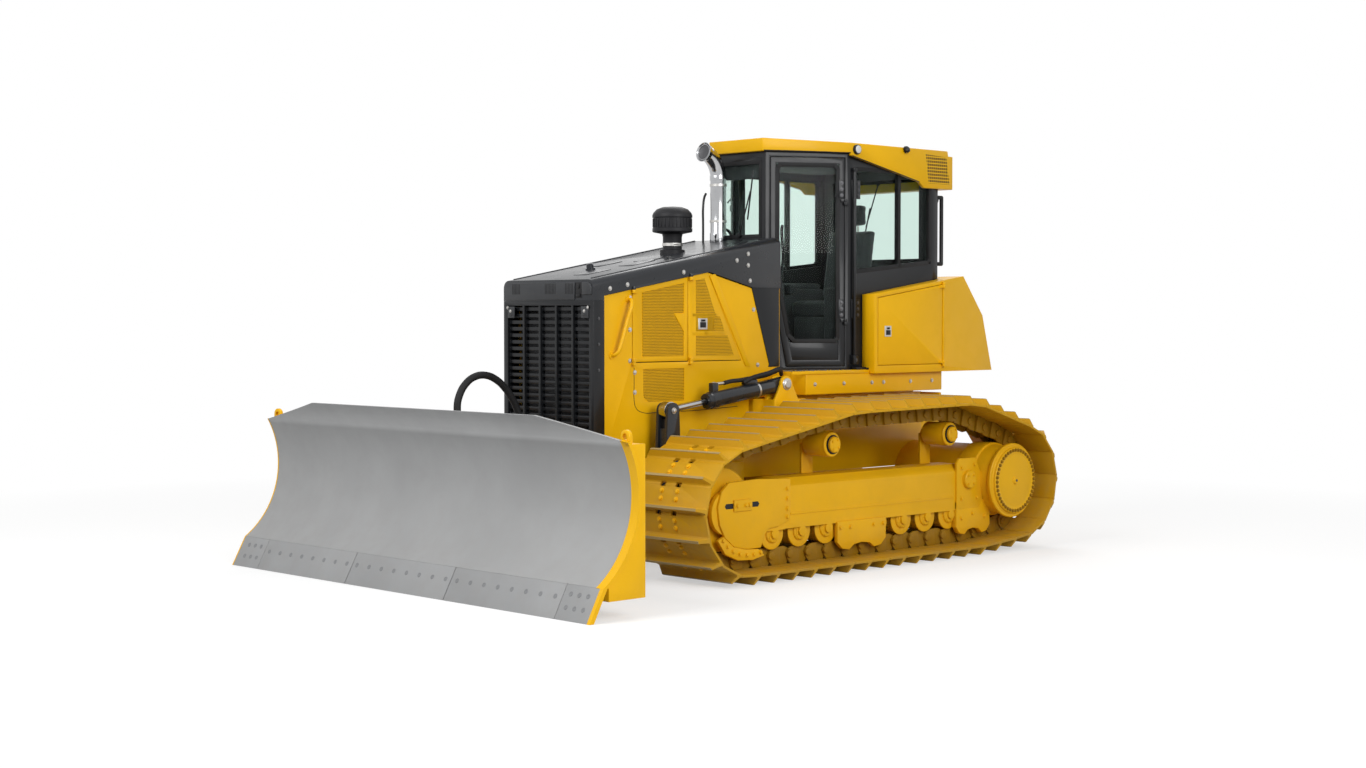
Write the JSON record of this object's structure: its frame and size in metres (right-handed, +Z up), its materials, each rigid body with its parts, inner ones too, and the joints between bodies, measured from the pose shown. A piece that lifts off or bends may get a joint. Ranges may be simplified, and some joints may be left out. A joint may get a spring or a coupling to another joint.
{
  "type": "bulldozer",
  "caption": "Crawler bulldozer with a power angle-tilt blade on a push frame, wide single-grouser tracks, sloped hood and enclosed cab.",
  "frame": {"origin": "on the ground, at the middle of the machine's length and width", "axes": "+X forward towards the blade, +Y to the machine's left, +Z up"},
  "size_m": [5.6, 3.99, 3.2],
  "materials": {
    "yellow_paint": "gloss",
    "charcoal_paint": "semi-gloss",
    "cast_iron": "matt",
    "black_plastic": "matt",
    "chrome": "polished",
    "glass": "clear, lightly tinted",
    "seat_fabric": "woven",
    "black_paint": "semi-gloss",
    "lamp_lens": "clear",
    "grey_paint": "satin",
    "edge_steel": "satin",
    "hose_rubber": "woven sleeve"
  },
  "bodies": {
    "tractor": {"main_frame": "charcoal_paint", "engine_block": "cast_iron", "radiator": "cast_iron", "radiator_guard": "charcoal_paint", "hood": "charcoal_paint", "side_panels": "yellow_paint", "precleaner": "black_plastic", "exhaust_stack": "chrome", "platform": "yellow_paint", "cab_frame": "charcoal_paint", "cab_roof": "yellow_paint", "cab_glass": "glass", "seat": "seat_fabric", "consoles": "black_plastic", "rear_tank": "yellow_paint", "handrails": "black_paint", "lamps": "lamp_lens", "drawbar": "charcoal_paint", "track_left": "yellow_paint", "track_right": "yellow_paint", "track_frame_left": "yellow_paint", "track_frame_right": "yellow_paint", "final_drives": "yellow_paint", "idlers": "yellow_paint", "bottom_rollers": "yellow_paint", "carrier_rollers": "yellow_paint", "equalizer_bar": "charcoal_paint", "hose": "hose_rubber"},
    "push_frame": {"push_frame": "charcoal_paint"},
    "trunnion": {"trunnion": "charcoal_paint"},
    "blade": {"moldboard": "grey_paint", "blade_frame": "yellow_paint", "cutting_edge": "edge_steel"},
    "lift_barrel_left": {"lift_barrel_left": "charcoal_paint"},
    "lift_rod_left": {"lift_rod_left": "chrome"},
    "angle_barrel_left": {"angle_barrel_left": "charcoal_paint"},
    "angle_rod_left": {"angle_rod_left": "chrome"},
    "lift_barrel_right": {"lift_barrel_right": "charcoal_paint"},
    "lift_rod_right": {"lift_rod_right": "chrome"},
    "angle_barrel_right": {"angle_barrel_right": "charcoal_paint"},
    "angle_rod_right": {"angle_rod_right": "chrome"},
    "tilt_barrel": {"tilt_barrel": "charcoal_paint"},
    "tilt_rod": {"tilt_rod": "chrome"},
    "cab_door_left": {"cab_door_left": "charcoal_paint", "door_glass_left": "glass"},
    "engine_door_left_front": {"engine_door_left_front": "yellow_paint"},
    "engine_door_left_rear": {"engine_door_left_rear": "yellow_paint"},
    "tank_door_left": {"tank_door_left": "yellow_paint"},
    "cab_door_right": {"cab_door_right": "charcoal_paint", "door_glass_right": "glass"},
    "engine_door_right_front": {"engine_door_right_front": "yellow_paint"},
    "engine_door_right_rear": {"engine_door_right_rear": "yellow_paint"},
    "tank_door_right": {"tank_door_right": "yellow_paint"}
  },
  "joints": [
    {"name": "blade_lift", "type": "hinge", "parent": "tractor", "child": "push_frame", "pos_m": [0.05, 0, 0.5], "axis": [0, -1, 0], "range_deg": [-12, 22], "deforming": ["hose"]},
    {"name": "blade_angle", "type": "hinge", "parent": "push_frame", "child": "trunnion", "pos_m": [1.98, 0, 0.47], "axis": [0, 0, 1], "range_deg": [-22, 22]},
    {"name": "blade_tilt", "type": "hinge", "parent": "trunnion", "child": "blade", "pos_m": [2.26, 0, 0.47], "axis": [1, 0, 0], "range_deg": [-6, 6]},
    {"name": "lift_barrel_left_swing", "type": "hinge", "parent": "tractor", "child": "lift_barrel_left", "pos_m": [-0.303, 0.64, 1.328], "axis": [0, -1, 0], "range_deg": [-7.6, 13.8]},
    {"name": "lift_rod_left_slide", "type": "slide", "parent": "lift_barrel_left", "child": "lift_rod_left", "axis": [0.9908, 0, -0.1354], "range_m": [-0.307, 0.168]},
    {"name": "angle_barrel_left_swing", "type": "hinge", "parent": "push_frame", "child": "angle_barrel_left", "pos_m": [1.08, 0.578, 0.7], "axis": [0, 0, 1], "range_deg": [-3.8, 3.8]},
    {"name": "angle_rod_left_slide", "type": "slide", "parent": "angle_barrel_left", "child": "angle_rod_left", "axis": [0.9997, 0.0235, 0], "range_m": [-0.231, 0.231]},
    {"name": "lift_barrel_right_swing", "type": "hinge", "parent": "tractor", "child": "lift_barrel_right", "pos_m": [-0.303, -0.64, 1.328], "axis": [0, -1, 0], "range_deg": [-7.6, 13.8]},
    {"name": "lift_rod_right_slide", "type": "slide", "parent": "lift_barrel_right", "child": "lift_rod_right", "axis": [0.9908, 0, -0.1354], "range_m": [-0.307, 0.168]},
    {"name": "angle_barrel_right_swing", "type": "hinge", "parent": "push_frame", "child": "angle_barrel_right", "pos_m": [1.08, -0.578, 0.7], "axis": [0, 0, 1], "range_deg": [-3.8, 3.8]},
    {"name": "angle_rod_right_slide", "type": "slide", "parent": "angle_barrel_right", "child": "angle_rod_right", "axis": [0.9997, -0.0235, 0], "range_m": [-0.231, 0.231]},
    {"name": "tilt_barrel_swing", "type": "hinge", "parent": "trunnion", "child": "tilt_barrel", "pos_m": [2.225, 0.33, 0.9], "axis": [1, 0, 0], "range_deg": [-3.6, 3.6]},
    {"name": "tilt_rod_slide", "type": "slide", "parent": "tilt_barrel", "child": "tilt_rod", "axis": [0, -0.9989, -0.047], "range_m": [-0.045, 0.045]},
    {"name": "cab_door_left_swing", "type": "hinge", "parent": "tractor", "child": "cab_door_left", "pos_m": [-1.0481, 0.6214, 2.2], "axis": [0, 0, 1], "range_deg": [0, 85]},
    {"name": "engine_door_left_front_swing", "type": "hinge", "parent": "tractor", "child": "engine_door_left_front", "pos_m": [1.062, 0.497, 1.8], "axis": [0, 0, -1], "range_deg": [0, 100]},
    {"name": "engine_door_left_rear_swing", "type": "hinge", "parent": "tractor", "child": "engine_door_left_rear", "pos_m": [0.497, 0.497, 1.8], "axis": [0, 0, -1], "range_deg": [0, 100]},
    {"name": "tank_door_left_swing", "type": "hinge", "parent": "tractor", "child": "tank_door_left", "pos_m": [-2.083, 0.767, 1.75], "axis": [0, 0, 1], "range_deg": [0, 100]},
    {"name": "cab_door_right_swing", "type": "hinge", "parent": "tractor", "child": "cab_door_right", "pos_m": [-1.0481, -0.6214, 2.2], "axis": [0, 0, -1], "range_deg": [0, 85]},
    {"name": "engine_door_right_front_swing", "type": "hinge", "parent": "tractor", "child": "engine_door_right_front", "pos_m": [1.062, -0.497, 1.8], "axis": [0, 0, 1], "range_deg": [0, 100]},
    {"name": "engine_door_right_rear_swing", "type": "hinge", "parent": "tractor", "child": "engine_door_right_rear", "pos_m": [0.497, -0.497, 1.8], "axis": [0, 0, 1], "range_deg": [0, 100]},
    {"name": "tank_door_right_swing", "type": "hinge", "parent": "tractor", "child": "tank_door_right", "pos_m": [-2.083, -0.767, 1.75], "axis": [0, 0, -1], "range_deg": [0, 100]}
  ],
  "couplings": [
    {"joint": "lift_barrel_left_swing", "follows": "blade_lift", "ratio": 0.6209},
    {"joint": "lift_rod_left_slide", "follows": "blade_lift", "m_per_rad": -0.79562},
    {"joint": "angle_barrel_left_swing", "follows": "blade_angle", "ratio": 0.1677},
    {"joint": "angle_rod_left_slide", "follows": "blade_angle", "m_per_rad": -0.59583},
    {"joint": "lift_barrel_right_swing", "follows": "blade_lift", "ratio": 0.6209},
    {"joint": "lift_rod_right_slide", "follows": "blade_lift", "m_per_rad": -0.79562},
    {"joint": "angle_barrel_right_swing", "follows": "blade_angle", "ratio": 0.1677},
    {"joint": "angle_rod_right_slide", "follows": "blade_angle", "m_per_rad": 0.59583},
    {"joint": "tilt_barrel_swing", "follows": "blade_tilt", "ratio": 0.5887},
    {"joint": "tilt_rod_slide", "follows": "blade_tilt", "m_per_rad": 0.41387}
  ]
}
